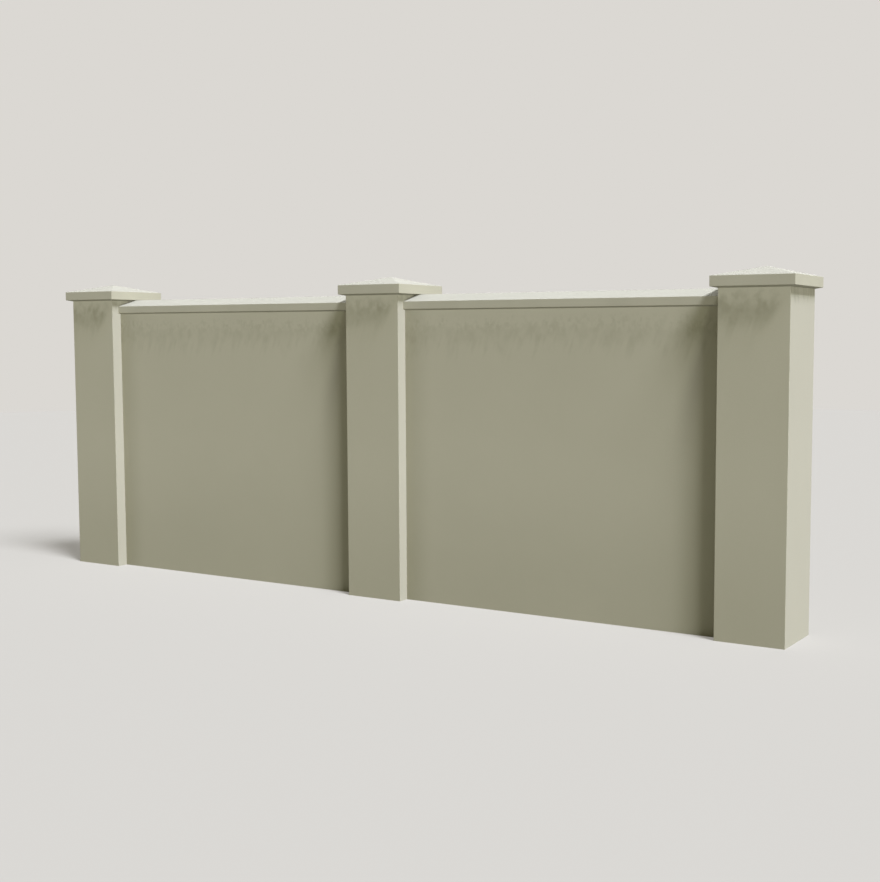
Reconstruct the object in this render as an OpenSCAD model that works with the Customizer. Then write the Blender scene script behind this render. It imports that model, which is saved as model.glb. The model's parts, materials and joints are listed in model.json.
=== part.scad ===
// Rendered garden wall in bays: square pillars with low pyramid caps, and between
// them solid wall panels under ridged copings. Millimetres, +Z up.
// The origin is on the ground, at the middle of the wall's length and thickness.

/* [Wall] */
// Number of wall panels, each between two pillars
bays = 2; // [1:1:6]
// Clear length of one panel, from pillar face to pillar face
panel_len = 2081; // [600:1:4000]
// Thickness of a panel over its render
wall_t = 248; // [150:1:300]
// Height of a panel, from the ground to its coping
wall_h = 1806; // [600:1:2400]

/* [Pillars] */
// Width of a pillar over its render, the same on all four sides
pillar_w = 400; // [300:1:600]
// Height of a pillar's top above the top of the panels
pillar_rise = 94; // [70:1:400]

/* [Coping] */
// How far the coping stands out past each face of the wall
coping_overhang = 20; // [10:1:50]
// Height of the splayed underside, from the wall face out to the edge
coping_splay = 7; // [3:1:15]
// Height of the upright edge
coping_edge = 47; // [25:1:100]
// Height of the ridge above the upright edge
coping_rise = 47; // [10:1:80]

/* [Caps] */
// How far a cap stands out past each face of its pillar
cap_overhang = 35; // [15:1:80]
// Height of the splayed underside, from the pillar face out to the edge
cap_splay = 8; // [3:1:20]
// Height of the upright edge
cap_edge = 57; // [30:1:120]
// Height of the point above the upright edge
cap_rise = 55; // [15:1:120]

/* [Hidden] */
// Distance between the middles of two neighbouring pillars
pitch = panel_len + pillar_w;
pillar_h = wall_h + pillar_rise;
cap_w = pillar_w + 2 * cap_overhang;

render_colour = [0.71, 0.70, 0.62];
casting_colour = [0.80, 0.79, 0.73];

// Pillars and panels are numbered from left to right
function pillar_x(i) = (i - 1 - bays / 2) * pitch;
function panel_x(i) = pillar_x(i) + pitch / 2;

// Section that copings and caps share, standing on a seat of the given width: a
// splayed underside, an upright edge each side, and two slopes up to the middle
module weathered_section(seat, overhang, splay, edge, rise) {
    half_seat = seat / 2;
    half_width = half_seat + overhang;
    polygon([
        [-half_seat, 0],
        [half_seat, 0],
        [half_width, splay],
        [half_width, splay + edge],
        [0, splay + edge + rise],
        [-half_width, splay + edge],
        [-half_width, splay]
    ]);
}

// The cap's section carried straight through, well past the cap's own width
module cap_run() {
    rotate([90, 0, 0])
        linear_extrude(2 * cap_w, center = true)
            weathered_section(pillar_w, cap_overhang, cap_splay, cap_edge, cap_rise);
}

// Two crossed runs leave the square cap with its four slopes
module cap_body(i) {
    translate([pillar_x(i), 0, pillar_h])
        intersection() {
            cap_run();
            rotate([0, 0, 90]) cap_run();
        }
}

module pillar(i) {
    color(render_colour)
        translate([pillar_x(i) - pillar_w / 2, -pillar_w / 2, 0])
            cube([pillar_w, pillar_w, pillar_h]);
}

module wall_panel(i) {
    color(render_colour)
        translate([panel_x(i) - panel_len / 2, -wall_t / 2, 0])
            cube([panel_len, wall_t, wall_h]);
}

// The ridge is a little higher than the pillar top, so each end is scribed to fit
// under the splay of the cap beside it
module coping(i) {
    color(casting_colour)
        difference() {
            translate([panel_x(i), 0, wall_h])
                rotate([90, 0, 90])
                    linear_extrude(panel_len, center = true)
                        weathered_section(
                            wall_t, coping_overhang, coping_splay, coping_edge, coping_rise
                        );
            for (side = [i, i + 1]) cap_body(side);
        }
}

module cap(i) {
    color(casting_colour) cap_body(i);
}

for (i = [1 : bays + 1]) {
    pillar(i);
    cap(i);
}
for (i = [1 : bays]) {
    wall_panel(i);
    coping(i);
}
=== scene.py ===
import json
from math import cos, pi, radians, sin, tan

import bpy
from mathutils import Matrix, Vector, noise

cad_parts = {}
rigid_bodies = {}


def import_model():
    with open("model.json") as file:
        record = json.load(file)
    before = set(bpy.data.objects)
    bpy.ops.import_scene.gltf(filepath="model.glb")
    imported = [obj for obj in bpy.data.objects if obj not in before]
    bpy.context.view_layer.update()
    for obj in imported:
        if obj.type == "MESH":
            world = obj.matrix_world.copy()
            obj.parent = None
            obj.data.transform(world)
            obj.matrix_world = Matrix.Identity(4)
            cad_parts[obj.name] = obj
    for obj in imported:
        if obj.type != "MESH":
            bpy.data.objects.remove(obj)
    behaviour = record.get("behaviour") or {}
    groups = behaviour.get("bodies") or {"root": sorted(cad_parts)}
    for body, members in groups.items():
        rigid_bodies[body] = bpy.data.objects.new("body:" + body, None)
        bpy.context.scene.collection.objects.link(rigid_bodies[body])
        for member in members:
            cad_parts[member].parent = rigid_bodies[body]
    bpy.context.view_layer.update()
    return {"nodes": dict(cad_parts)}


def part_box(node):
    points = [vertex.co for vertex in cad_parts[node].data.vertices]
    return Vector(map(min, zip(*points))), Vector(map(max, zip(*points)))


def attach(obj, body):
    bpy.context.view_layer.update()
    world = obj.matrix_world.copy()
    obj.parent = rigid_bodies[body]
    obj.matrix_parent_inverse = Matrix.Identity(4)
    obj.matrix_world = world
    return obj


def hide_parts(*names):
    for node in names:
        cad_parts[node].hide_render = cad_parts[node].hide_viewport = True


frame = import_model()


# ---- Camera ---------------------------------------------------------------------------
# It stands in front of the right-hand end, at the eye height of a standing person, and
# looks back along the wall. The view is framed off the lens axis, so the lens is shifted.
camera = bpy.data.objects.new("camera", bpy.data.cameras.new("camera"))
camera.location = (4.856, -6.676, 1.633)
TURN_LEFT = 0.5305
LOOK_DOWN = 0.0816
camera.rotation_euler = (pi / 2 - LOOK_DOWN, 0, TURN_LEFT)
camera.data.lens = 52.72
camera.data.shift_x = -0.0892
camera.data.shift_y = 0.0035
bpy.context.scene.collection.objects.link(camera)
bpy.context.scene.camera = camera


# ---- Pillars --------------------------------------------------------------------------
# Three square pillars of blockwork, coated on all four sides with smooth cement render.
# The plasterer forms each arris against a straight edge and eases it with a trowel, so
# it is slightly rounded, and the faces between are flat to within a millimetre or so.
PILLARS = ["pillar_1", "pillar_2", "pillar_3"]
MM = 0.001
ARRIS_RADIUS = 1.5 * MM
ARRIS_STEPS = 3
ARRIS_WEAR = 0.35
WEAR_LENGTH = 90 * MM
HOLLOW_DEPTH = 0.9 * MM
HOLLOW_SIZE = 0.45
HOLLOW_MARGIN = 80 * MM
FACE_STEP = 25 * MM
SHARP_ANGLE = radians(35)
# Points this close to a rounded corner keep the flat beside it flat in the light
GUARD = 2 * MM


def spread(start, end, step):
    """Evenly spaced values from start to end, about one step apart."""
    count = max(1, round(abs(end - start) / step))
    return [start + (end - start) * k / count for k in range(count + 1)]


def ease(value, low, high):
    """A smooth rise from 0 at low to 1 at high."""
    share = min(1, max(0, (value - low) / (high - low)))
    return share * share * (3 - 2 * share)


def hollow(point, from_edge, seed):
    """How far the trowel has left the face below true. The face is true at its edges."""
    place = Vector(point) / HOLLOW_SIZE + Vector((seed, 0, 0))
    wave = 0.5 + 0.5 * noise.noise(place) + 0.2 * noise.noise(place * 2.3)
    return HOLLOW_DEPTH * max(0, wave) * ease(from_edge, 0, HOLLOW_MARGIN)


def skin(name, rings, end_faces=None):
    """A closed mesh object over a row of rings that all have the same number of points.

    Each end is closed by one face, or by the end faces, each a list of places in its ring.
    """
    count = len(rings[0])
    last = (len(rings) - 1) * count
    faces = []
    for ring in range(len(rings) - 1):
        for k in range(count):
            here = ring * count + k
            beside = ring * count + (k + 1) % count
            faces.append((here, beside, beside + count, here + count))
    end_faces = end_faces or [range(count)]
    for face in end_faces:
        faces.append(tuple(reversed(face)))
    for face in end_faces:
        faces.append(tuple(last + k for k in face))
    mesh = bpy.data.meshes.new(name)
    mesh.from_pydata([point for ring in rings for point in ring], [], faces)
    mesh.shade_smooth()
    mesh.set_sharp_from_angle(angle=SHARP_ANGLE)
    piece = bpy.data.objects.new(name, mesh)
    bpy.context.scene.collection.objects.link(piece)
    return piece


def square_ring(centre, half, z, radius, steps, seed=None):
    """One level of a square block with eased arrises, anticlockwise seen from above.

    Each side is drawn in that many steps, and is hollowed by the trowel if it has a seed.
    """
    points = []
    for quarter in range(4):
        along = Vector((cos(quarter * pi / 2), sin(quarter * pi / 2), 0))
        out = Vector((along.y, -along.x, 0))
        straight = half - radius
        guard = min(GUARD, straight / 8)
        runs = [-straight, -straight + guard]
        runs += [straight * (2 * k / steps - 1) for k in range(1, steps)]
        runs += [straight - guard, straight]
        for run in runs:
            point = centre + along * run + out * half + Vector((0, 0, z))
            if seed is not None:
                point -= out * hollow(point, half - abs(run), seed + quarter)
            points.append(point)
        for k in range(1, ARRIS_STEPS):
            turn = pi / 2 * k / ARRIS_STEPS
            corner = along * (straight + radius * sin(turn)) + out * (straight + radius * cos(turn))
            points.append(centre + corner + Vector((0, 0, z)))
    return points


def pillar_mesh(node, seed):
    """One pillar, whose arrises are a little more worn in some places than in others."""
    low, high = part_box(node)
    centre = Vector(((low[0] + high[0]) / 2, (low[1] + high[1]) / 2, 0))
    half = (high[0] - low[0]) / 2
    steps = round(2 * half / FACE_STEP)
    rings = []
    for z in spread(low[2], high[2], FACE_STEP):
        wear = 1 + ARRIS_WEAR * noise.noise(Vector((seed, 0, z / WEAR_LENGTH)))
        rings.append(square_ring(centre, half, z, ARRIS_RADIUS * wear, steps, seed))
    return skin(node + "_render", rings)


def add(tree, kind, inputs=(), **settings):
    """Adds one material node. An input is set by name or number, to a value or a socket."""
    node = tree.nodes.new("ShaderNode" + kind)
    for key, value in settings.items():
        setattr(node, key, value)
    for key, value in dict(inputs).items():
        if isinstance(value, bpy.types.NodeSocket):
            tree.links.new(value, node.inputs[key])
        else:
            node.inputs[key].default_value = value
    return node


def calc(tree, operation, first, second=0.0, clamp=False):
    """The result of one sum on two numbers or sockets."""
    return add(tree, "Math", {0: first, 1: second}, operation=operation, use_clamp=clamp).outputs[0]


def ramp(tree, value, low, high, bottom=0.0, top=1.0):
    """A smooth change from bottom to top while the value goes from low to high."""
    inputs = {"Value": value, "From Min": low, "From Max": high, "To Min": bottom, "To Max": top}
    return add(tree, "MapRange", inputs, interpolation_type="SMOOTHSTEP").outputs["Result"]


def blend(tree, kind, first, second, share):
    """The first number or colour where the share is 0, changing to the second where it is 1."""
    inputs = {"A": first, "B": second, "Factor": share}
    return add(tree, "Mix", inputs, data_type=kind).outputs["Result"]


def grain(tree, place, scale, detail=2.0, tall=1.0, lean=0.0, shift=(0, 0, 0)):
    """Noise with scale features a metre, drawn out upwards and leaning to the right."""
    spot = add(tree, "Mapping", {"Vector": place, "Location": shift}, vector_type="TEXTURE")
    spot.inputs["Rotation"].default_value = (0, lean, 0)
    spot.inputs["Scale"].default_value = (1, 1, tall)
    inputs = {"Vector": spot.outputs[0], "Scale": scale, "Detail": detail}
    return add(tree, "TexNoise", inputs).outputs[0]


def vary(tree, value, bottom, top, reach=0.2):
    """Noise, most of which lies within reach of a half, stretched from bottom to top."""
    return ramp(tree, value, 0.5 - reach, 0.5 + reach, bottom, top)


RENDER_COLOUR = (0.490, 0.474, 0.372, 1)
# The darker colour for the painted shade and for the random tone of the render
RENDER_DIRT_AND_SHADE = (0.242, 0.231, 0.155, 1)
# How far the streaks of the painted shadow under the caps and copings lean
SHADOW_LEAN = radians(18)
# The slant of the painted shadow's lit right-hand edge, and the widths of its fade
SHADOW_SLANT = 0.56
SHADOW_FADE_BEFORE = 40 * MM
SHADOW_FADE_BEYOND = 20 * MM
# Painted streaks of shade on the faces across the wall, just below the caps
STREAK_DARKNESS = 0.24
STREAK_SHORTEST = 20 * MM
STREAK_LONGEST = 90 * MM
# Painted shade near the ground: how dark, and how high it reaches
FOOT_SHADE_DARKNESS = 0.22
FOOT_SHADE_HEIGHT = 1.0
SAND_RELIEF = 0.25 * MM
FLOAT_RELIEF = 0.5 * MM
BUMP_STRENGTH = 0.6
LOW_SHEEN = 0.25


def painted_overhang_shadow(tree, place, drop, marks, shift):
    """How dark the painted shadow of the stone above makes a face, from 0 to 1. drop is the depth
    below its stone.
    """
    mottle = grain(tree, place, marks["mottle"], 2.0, 1.3, 0, shift)
    runs = grain(tree, place, marks["runs"], 2.0, 7.0, SHADOW_LEAN, shift)
    cores = grain(tree, place, marks["cores"], 1.5, 1.2, 0, shift)

    # The painted shadow begins at a ragged line, is darkest just below it, and trails off in
    # leaning streaks
    ragged = calc(tree, "ADD", drop, vary(tree, mottle, -marks["ragged"], marks["ragged"]))
    begin = ramp(tree, ragged, marks["start"], marks["full"])
    stretch = vary(tree, runs, 1 + marks["wander"], 1 - marks["wander"])
    trailing = calc(tree, "MULTIPLY", drop, stretch)
    body = ramp(tree, trailing, marks["full"], marks["fading"], 0.8, 0.0)
    tail = ramp(tree, trailing, marks["full"], marks["end"], 0.2, 0.0)
    dark = calc(tree, "MULTIPLY", begin, calc(tree, "ADD", body, tail))

    # Some patches of the painted shadow are darker than others, down to the size of the mottle
    patches = vary(tree, cores, 1 - marks["patchy"], 1 + marks["patchy"])
    blotch = calc(tree, "MULTIPLY", patches, vary(tree, mottle, 0.85, 1.15))
    return calc(tree, "MULTIPLY", calc(tree, "MULTIPLY", dark, blotch), marks["strength"])


def render_coat(name, top, marks, shift, lit_edge=None, corners=()):
    """Grey-olive render, with a painted shadow from its top down that fades out near the lit edge.

    Painted shade lies in the corners beside the pillars. Each has its place along the wall, how
    dark it is, and the distances from that place between which it fades.
    """
    material = bpy.data.materials.new(name)
    material.use_nodes = True
    tree = material.node_tree
    shader = tree.nodes["Principled BSDF"]
    shader.inputs["Specular IOR Level"].default_value = LOW_SHEEN
    coordinates = add(tree, "TexCoord").outputs
    place = coordinates["Object"]
    axes = add(tree, "SeparateXYZ", {0: place}).outputs
    facing = add(tree, "SeparateXYZ", {0: coordinates["Normal"]}).outputs
    across = ramp(tree, calc(tree, "ABSOLUTE", facing["X"]), 0.4, 0.9)
    drop = calc(tree, "SUBTRACT", top, axes["Z"])

    # Faces along the wall: a painted shadow of the stone above darkens all but the lit right-hand
    # edge
    painted_shade = painted_overhang_shadow(tree, place, drop, marks, shift)
    if lit_edge is not None:
        slant = calc(tree, "ADD", axes["X"], calc(tree, "MULTIPLY", drop, SHADOW_SLANT))
        in_shadow = ramp(tree, slant, lit_edge - SHADOW_FADE_BEFORE, lit_edge + SHADOW_FADE_BEYOND, 1.0, 0.0)
        painted_shade = calc(tree, "MULTIPLY", painted_shade, in_shadow)
    # Painted shade beside the pillars, added to the painted shadow
    for corner, darkness, near, far in corners:
        away = calc(tree, "ABSOLUTE", calc(tree, "SUBTRACT", axes["X"], corner))
        painted_shade = calc(tree, "ADD", painted_shade, ramp(tree, away, near, far, darkness, 0.0))

    # Faces across it: short faint painted streaks of shade at the foot of the cap's shadow
    streaks = grain(tree, place, 36.0, 2.0, 5.0, 0, shift)
    past_end = calc(tree, "SUBTRACT", drop, vary(tree, streaks, STREAK_SHORTEST, STREAK_LONGEST))
    fade = ramp(tree, past_end, -30 * MM, 10 * MM, 1.0, 0.0)
    streaked_shade = calc(tree, "MULTIPLY", vary(tree, streaks, 0.0, STREAK_DARKNESS, 0.15), fade)

    # Painted shade darkens the foot of the wall, most on its long faces
    foot_shade = ramp(tree, axes["Z"], 0.0, FOOT_SHADE_HEIGHT, FOOT_SHADE_DARKNESS, 0.0)
    foot_shade = calc(tree, "MULTIPLY", foot_shade, ramp(tree, across, 0, 1, 1.0, 0.35))
    tone = grain(tree, place, 1.7, 3.0)
    # All the painted shade and a random tone, drawn in the darker colour
    dirt_and_shade = calc(tree, "ADD", blend(tree, "FLOAT", painted_shade, streaked_shade, across), foot_shade)
    dirt_and_shade = calc(tree, "ADD", dirt_and_shade, vary(tree, tone, 0.0, 0.03), clamp=True)
    colour = blend(tree, "RGBA", RENDER_COLOUR, RENDER_DIRT_AND_SHADE, dirt_and_shade)
    speckle = vary(tree, grain(tree, place, 420.0, 2.0), 0.96, 1.04, 0.25)
    specks = add(tree, "HueSaturation", {"Color": colour, "Value": speckle})
    tree.links.new(specks.outputs[0], shader.inputs["Base Color"])
    tree.links.new(vary(tree, tone, 0.84, 0.95), shader.inputs["Roughness"])

    # Sand in the coat, and the long shallow arcs of the float
    sand = calc(tree, "MULTIPLY", grain(tree, place, 700.0, 3.0), SAND_RELIEF)
    arcs = calc(tree, "MULTIPLY", grain(tree, place, 14.0, 2.0, 3.0), FLOAT_RELIEF)
    relief = calc(tree, "ADD", sand, arcs)
    bump = add(tree, "Bump", {"Height": relief, "Strength": BUMP_STRENGTH, "Distance": 1.0})
    tree.links.new(bump.outputs[0], shader.inputs["Normal"])
    return material


# The painted shadow below a cap: features a metre and shares of the whole, and then depths below
# the stone above
PILLAR_SHADOW_MARKS = {
    "mottle": 24.0, "runs": 22.0, "cores": 10.0, "patchy": 0.28, "wander": 0.13, "strength": 0.415,
    "ragged": 26 * MM, "start": 5 * MM, "full": 110 * MM, "fading": 250 * MM, "end": 390 * MM,
}
for order, node in enumerate(PILLARS):
    piece = pillar_mesh(node, seed=7.0 * order)
    right, _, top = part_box(node)[1]
    # The painted shadow under the cap stops at the pillar's lit right-hand edge
    coat = render_coat(node + "_coat", top, PILLAR_SHADOW_MARKS, (3.1 * order, 0, 0), lit_edge=right)
    piece.data.materials.append(coat)
    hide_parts(node)
    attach(piece, "root")


# ---- Wall panels ----------------------------------------------------------------------
# Two solid panels of blockwork between the pillars, rendered on both faces with the same
# coat. Their ends butt against the pillars, and the coping is bedded on their tops.
PANELS = ["wall_panel_1", "wall_panel_2"]


def panel_mesh(node, seed):
    """One panel, whose two long faces are hollowed a little between their sides and top."""
    low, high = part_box(node)
    stations = spread(low[0], high[0], FACE_STEP)
    rings = []
    for z in spread(low[2], high[2], FACE_STEP):
        ring = []
        for y, inwards, along in ((low[1], 1, stations), (high[1], -1, reversed(stations))):
            for x in along:
                from_edge = min(x - low[0], high[0] - x, high[2] - z)
                ring.append(Vector((x, y + inwards * hollow((x, y, z), from_edge, seed), z)))
        rings.append(ring)
    return skin(node + "_render", rings)


# The painted shadow below a coping, on the panels
PANEL_SHADOW_MARKS = {
    "mottle": 44.0, "runs": 30.0, "cores": 18.0, "patchy": 0.45, "wander": 0.24, "strength": 0.145,
    "ragged": 40 * MM, "start": 45 * MM, "full": 130 * MM, "fading": 255 * MM, "end": 320 * MM,
}
# Painted shade at each end of a panel: how dark, and then the distances from the panel's end
# between which it fades
LEFT_CORNER_SHADE = (0.52, -60 * MM, 215 * MM)
RIGHT_CORNER_SHADE = (0.20, 170 * MM, 300 * MM)
for order, node in enumerate(PANELS):
    piece = panel_mesh(node, seed=40.0 + 7.0 * order)
    low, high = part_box(node)
    corners = ((low[0], *LEFT_CORNER_SHADE), (high[0], *RIGHT_CORNER_SHADE))
    shift = (5.7 * order + 1.3, 0, 0)
    coat = render_coat(node + "_coat", high[2], PANEL_SHADOW_MARKS, shift, corners=corners)
    piece.data.materials.append(coat)
    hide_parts(node)
    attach(piece, "root")


# ---- Copings --------------------------------------------------------------------------
# Cast concrete, sloped both ways from a ridge, with a splayed underside that lets rain
# drip clear of the wall. It is bedded on its panel in mortar, the joints rubbed flush, and
# each end butts a pillar and is scribed under the splay of the cap.
COPINGS = {"coping_1": "wall_panel_1", "coping_2": "wall_panel_2"}
COPING_SPLAY = 7 * MM
COPING_EDGE = 47 * MM
CAP_OVERHANG = 35 * MM
CAP_SPLAY = 8 * MM
CAST_RADIUS = 1.2 * MM
RIDGE_RADIUS = 4 * MM
CAST_GUARD = 1.5 * MM
HAIR = 0.01 * MM
SCRIBED_END = 45 * MM


def eased(corners, radii):
    """An anticlockwise outline whose corners are rounded, each by its own radius."""
    outline = []
    for k, radius in enumerate(radii):
        corner = Vector(corners[k])
        if radius == 0:
            outline.append(corner)
            continue
        before = (Vector(corners[k - 1]) - corner).normalized()
        after = (Vector(corners[(k + 1) % len(corners)]) - corner).normalized()
        half_angle = before.angle(after) / 2
        reach = radius / tan(half_angle)
        middle = corner + (before + after).normalized() * radius / sin(half_angle)
        outline.append(corner + before * (reach + CAST_GUARD))
        for step in range(ARRIS_STEPS + 1):
            spoke = corner + before * reach - middle
            spoke.rotate(Matrix.Rotation((pi - 2 * half_angle) * step / ARRIS_STEPS, 2))
            outline.append(middle + spoke)
        outline.append(corner + after * (reach + CAST_GUARD))
    return outline


def filled(outline, step, closed):
    """The same outline with points added where two lie much further apart than the step."""
    points = []
    followers = outline[1:] + (outline[:1] if closed else [])
    for start, end in zip(outline, followers):
        count = max(1, round((end - start).length / step))
        points += [start.lerp(end, k / count) for k in range(count)]
    return points if closed else points + outline[-1:]


def coping_mesh(node, panel):
    """One coping, drawn along the wall. What rises past the pillars is cut back under the caps."""
    low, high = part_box(node)
    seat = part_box(panel)[1][1]
    pillar_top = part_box(PILLARS[0])[1][2]
    edge, bottom, ridge = high[1], low[2], high[2]
    shoulder = bottom + COPING_SPLAY + COPING_EDGE
    under_cap = edge * (ridge - pillar_top) / (ridge - shoulder)
    corners = [
        (-seat, bottom), (seat, bottom), (edge, bottom + COPING_SPLAY), (edge, shoulder),
        (under_cap, pillar_top), (0, ridge), (-under_cap, pillar_top),
        (-edge, shoulder), (-edge, bottom + COPING_SPLAY),
    ]
    radii = [0, 0, CAST_RADIUS, CAST_RADIUS, 0, RIDGE_RADIUS, 0, CAST_RADIUS, CAST_RADIUS]
    outline = filled(eased(corners, radii), FACE_STEP, closed=True)
    rings = []
    between = spread(low[0] + SCRIBED_END, high[0] - SCRIBED_END, FACE_STEP)
    for x in [low[0]] + between + [high[0]]:
        inwards = {low[0]: 1, high[0]: -1}.get(x, 0)
        ring = []
        for y, z in outline:
            cut_back = max(0, z - pillar_top) * CAP_OVERHANG / CAP_SPLAY
            ring.append(Vector((x + inwards * cut_back, y, z)))
        rings.append(ring)
    butt = [k for k, (y, z) in enumerate(outline) if z < pillar_top + HAIR]
    scribed = [k for k, (y, z) in enumerate(outline) if z > pillar_top - HAIR]
    return skin(node + "_casting", rings, [butt, scribed])


CAST_COLOUR = (0.492, 0.476, 0.375, 1)
CAST_DUST = (0.467, 0.452, 0.356, 1)
UNDERSIDE_SHADE = 0.82
PIT_DEPTH = 0.4 * MM
CAST_SAND_RELIEF = 0.12 * MM


def cast_face(name, top_shaded):
    """Cast concrete off a smooth mould: finely pitted, with painted shade that greys and darkens
    its top and darkens its underside.
    """
    material = bpy.data.materials.new(name)
    material.use_nodes = True
    tree = material.node_tree
    shader = tree.nodes["Principled BSDF"]
    shader.inputs["Specular IOR Level"].default_value = LOW_SHEEN
    coordinates = add(tree, "TexCoord").outputs
    place = coordinates["Object"]
    up = add(tree, "SeparateXYZ", {0: coordinates["Normal"]}).outputs["Z"]
    bloom = grain(tree, place, 3.5, 3.0)
    clean = blend(tree, "RGBA", CAST_COLOUR, CAST_DUST, vary(tree, bloom, 0.0, 1.0))
    # Painted shade greys and darkens the tops
    colour = blend(tree, "RGBA", clean, top_shaded, ramp(tree, up, 0.3, 0.8))
    speckle = vary(tree, grain(tree, place, 520.0, 2.0), 0.96, 1.04, 0.25)
    # Painted shade darkens the splayed undersides
    shade = calc(tree, "MULTIPLY", speckle, ramp(tree, up, -0.9, -0.2, UNDERSIDE_SHADE, 1.0))
    specks = add(tree, "HueSaturation", {"Color": colour, "Value": shade})
    tree.links.new(specks.outputs[0], shader.inputs["Base Color"])
    tree.links.new(vary(tree, bloom, 0.78, 0.9), shader.inputs["Roughness"])

    # Pits where air lay against the mould, and sand between them
    pores = add(tree, "TexVoronoi", {"Vector": place, "Scale": 160.0}).outputs["Distance"]
    pits = ramp(tree, pores, 0.05, 0.22, -PIT_DEPTH, 0.0)
    sand = calc(tree, "MULTIPLY", grain(tree, place, 900.0, 2.0), CAST_SAND_RELIEF)
    relief = calc(tree, "ADD", pits, sand)
    bump = add(tree, "Bump", {"Height": relief, "Strength": BUMP_STRENGTH, "Distance": 1.0})
    tree.links.new(bump.outputs[0], shader.inputs["Normal"])
    return material


COPING_TOP_SHADED = (0.393, 0.388, 0.334, 1)
coping_face = cast_face("coping_face", COPING_TOP_SHADED)
for node, panel in COPINGS.items():
    piece = coping_mesh(node, panel)
    piece.data.materials.append(coping_face)
    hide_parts(node)
    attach(piece, "root")


# ---- Caps -----------------------------------------------------------------------------
# One concrete casting on each pillar, bedded on its top: a splayed underside, a square
# edge all round, and four shallow slopes that meet in a blunt point.
CAPS = {"cap_1": "pillar_1", "cap_2": "pillar_2", "cap_3": "pillar_3"}
CAP_EDGE = 57 * MM
TIP_HALF = 3 * MM
CAP_STEPS = 16


def cap_mesh(node, pillar):
    """One cap, drawn as square levels from its bed up to its point."""
    low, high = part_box(node)
    centre = Vector(((low[0] + high[0]) / 2, (low[1] + high[1]) / 2, 0))
    half, seat = high[1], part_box(pillar)[1][1]
    shoulder = low[2] + CAP_SPLAY + CAP_EDGE
    tip = high[2] - (high[2] - shoulder) * TIP_HALF / half
    corners = [(seat, low[2]), (half, low[2] + CAP_SPLAY), (half, shoulder), (TIP_HALF, tip)]
    profile = filled(eased(corners, [0, CAST_RADIUS, CAST_RADIUS, 0]), FACE_STEP, closed=False)
    rings = []
    for width, z in profile:
        rings.append(square_ring(centre, width, z, min(CAST_RADIUS, width / 4), CAP_STEPS))
    return skin(node + "_casting", rings)


CAP_TOP_SHADED = (0.374, 0.368, 0.316, 1)
cap_face = cast_face("cap_face", CAP_TOP_SHADED)
for node, pillar in CAPS.items():
    piece = cap_mesh(node, pillar)
    piece.data.materials.append(cap_face)
    # It blocks the lamps, but not the soft light of the room on the stone beside it
    piece.visible_diffuse = False
    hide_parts(node)
    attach(piece, "root")


# ---- Floor ----------------------------------------------------------------------------
# A wide pale round floor that keeps the wall's shadow. How light it looks and how much
# light it throws back up at the wall are set apart.
FLOOR_RADIUS = 23.0
FLOOR_SIDES = 128
SEEN_FLOOR = (0.273, 0.272, 0.273, 1)
SEEN_GLOW = (0.266, 0.255, 0.237, 1)
BOUNCE_FLOOR = (0.234, 0.234, 0.217, 1)


def seen(tree):
    """1 for what the camera sees, directly or in something glossy or clear, and 0 for light."""
    rays = add(tree, "LightPath").outputs
    mirrored = calc(tree, "MAXIMUM", rays["Is Glossy Ray"], rays["Is Transmission Ray"])
    return calc(tree, "MAXIMUM", rays["Is Camera Ray"], mirrored)


rim = []
for side in range(FLOOR_SIDES):
    turn = 2 * pi * side / FLOOR_SIDES
    rim.append((FLOOR_RADIUS * cos(turn), FLOOR_RADIUS * sin(turn), 0))
floor_mesh = bpy.data.meshes.new("floor")
floor_mesh.from_pydata(rim, [], [range(FLOOR_SIDES)])
floor = bpy.data.objects.new("floor", floor_mesh)
bpy.context.scene.collection.objects.link(floor)

floor_paint = bpy.data.materials.new("floor_paint")
floor_paint.use_nodes = True
paint = floor_paint.node_tree
paint.nodes.remove(paint.nodes["Principled BSDF"])
pale = add(paint, "BsdfDiffuse", {"Color": SEEN_FLOOR})
glow = add(paint, "Emission", {"Color": SEEN_GLOW, "Strength": 1.0})
shown = add(paint, "AddShader", {0: pale.outputs[0], 1: glow.outputs[0]})
bounce = add(paint, "BsdfDiffuse", {"Color": BOUNCE_FLOOR})
either = add(paint, "MixShader", {0: seen(paint), 1: bounce.outputs[0], 2: shown.outputs[0]})
paint.links.new(either.outputs[0], paint.nodes["Material Output"].inputs["Surface"])
floor_mesh.materials.append(floor_paint)


# ---- Room -----------------------------------------------------------------------------
# Soft light from all round, warmer and stronger near the ground than overhead, and behind
# it a plain pale backdrop that gives no light.
AMBIENT_LOW = (0.323, 0.306, 0.198, 1)
AMBIENT_HIGH = (0.010, 0.009, 0.006, 1)
BACKDROP = (0.708, 0.686, 0.651, 1)
world = bpy.data.worlds.new("studio")
world.use_nodes = True
room = world.node_tree
room.nodes.remove(room.nodes["Background"])
towards = add(room, "TexCoord").outputs["Generated"]
upwards = add(room, "SeparateXYZ", {0: towards}).outputs["Z"]
sky = blend(room, "RGBA", AMBIENT_LOW, AMBIENT_HIGH, ramp(room, upwards, 0.2, 0.9))
lit = add(room, "Background", {"Color": sky, "Strength": 1.0})
backdrop = add(room, "Background", {"Color": BACKDROP, "Strength": 1.0})
which = add(room, "MixShader", {0: seen(room), 1: lit.outputs[0], 2: backdrop.outputs[0]})
room.links.new(which.outputs[0], room.nodes["World Output"].inputs["Surface"])
bpy.context.scene.world = world


# ---- Lamps ----------------------------------------------------------------------------
# Soft suns, high on the right and a little in front of the wall's face, and a weak low one
# behind it. Panels, pillars, castings and floor have their own, each with its own shadows.
WHITE = (1.000, 1.000, 1.000)


def group(name, beginnings):
    """A collection, for a lamp's use, of the modelled objects whose names start like these."""
    members = bpy.data.collections.new(name)
    for item in bpy.context.scene.objects:
        if item.name.startswith(beginnings) and item.name not in frame["nodes"]:
            members.objects.link(item)
    return members


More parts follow.
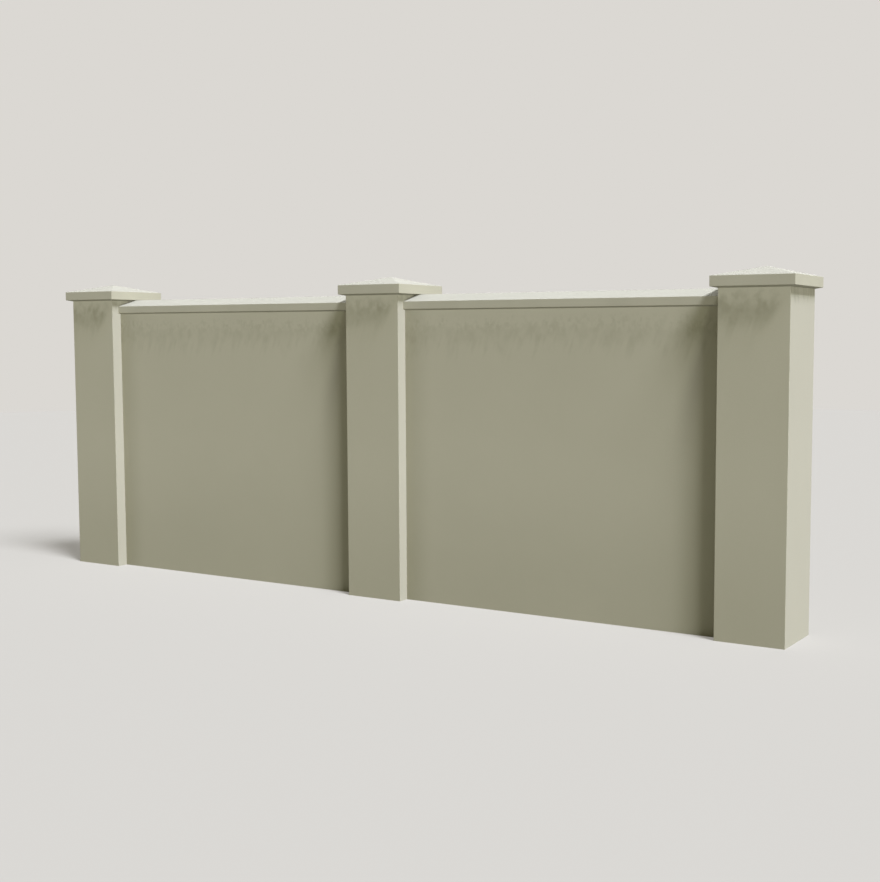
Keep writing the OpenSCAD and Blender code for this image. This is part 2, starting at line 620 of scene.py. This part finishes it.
def sun(name, strength, colour, off_wall, height, softness, lights, shaded_by):
    """A distant lamp. off_wall is its turn from the wall's right-hand end towards the front.

    That turn, the height and the width of the source are in degrees. The lamp lights one
    group, and only the pieces of the other group cast its shadows.
    """
    lamp = bpy.data.objects.new(name, bpy.data.lights.new(name, "SUN"))
    lamp.data.energy = strength * pi
    lamp.data.color = colour
    lamp.data.angle = radians(softness)
    lamp.rotation_euler = (0, radians(90 - height), radians(-off_wall))
    lamp.light_linking.receiver_collection = lights
    lamp.light_linking.blocker_collection = shaded_by
    bpy.context.scene.collection.objects.link(lamp)


pillars = group("pillars", "pillar")
panels = group("panels", "wall_panel")
castings = group("castings", ("coping", "cap"))
ground = group("ground", "floor")
pieces = group("pieces", ("pillar", "wall_panel", "coping", "cap"))
all_but_copings = group("all_but_copings", ("pillar", "wall_panel", "cap"))
pillars_and_caps = group("pillars_and_caps", ("pillar", "cap"))
masonry = group("masonry", ("pillar", "wall_panel"))

# Panels: the soft shadow of each pillar and its cap, and a steeper lamp that shortens it
sun("key", 1.452, (0.910, 0.911, 1.000), off_wall=21, height=53, softness=20,
    lights=panels, shaded_by=all_but_copings)
sun("high", 0.655, (0.971, 1.000, 0.803), off_wall=28, height=73, softness=8,
    lights=panels, shaded_by=all_but_copings)

# Castings: the caps shade the copings, and the open lamp keeps that shade from being too deep
sun("casting_key", 1.712, (0.903, 0.922, 0.990), off_wall=18.5, height=57, softness=14,
    lights=castings, shaded_by=all_but_copings)
sun("casting_open", 0.220, WHITE, off_wall=50, height=50, softness=18,
    lights=castings, shaded_by=masonry)

# Pillars: two lamps along the wall put the caps' shade on the right-hand faces, crisp at its
# edge. The long faces have an open lamp that the caps don't block.
sun("along_low", 0.522, (0.847, 0.912, 1.000), off_wall=0, height=53.5, softness=5,
    lights=pillars, shaded_by=pillars_and_caps)
sun("along_high", 0.938, (0.810, 0.790, 1.000), off_wall=0, height=63, softness=20,
    lights=pillars, shaded_by=pillars_and_caps)
sun("open", 0.704, (0.987, 0.997, 1.000), off_wall=50, height=50, softness=18,
    lights=pillars, shaded_by=masonry)

# Floor: the shadow that shows beyond the left-hand end
sun("floor_low", 1.06, WHITE, off_wall=18, height=53, softness=20,
    lights=ground, shaded_by=pieces)
sun("floor_high", 0.71, WHITE, off_wall=25, height=65, softness=10,
    lights=ground, shaded_by=pieces)

# Back: as bright as the front, from low behind the left-hand end
sun("back", 0.500, WHITE, off_wall=-118, height=25, softness=50,
    lights=pieces, shaded_by=pieces)

bpy.context.scene.view_settings.view_transform = "Standard"
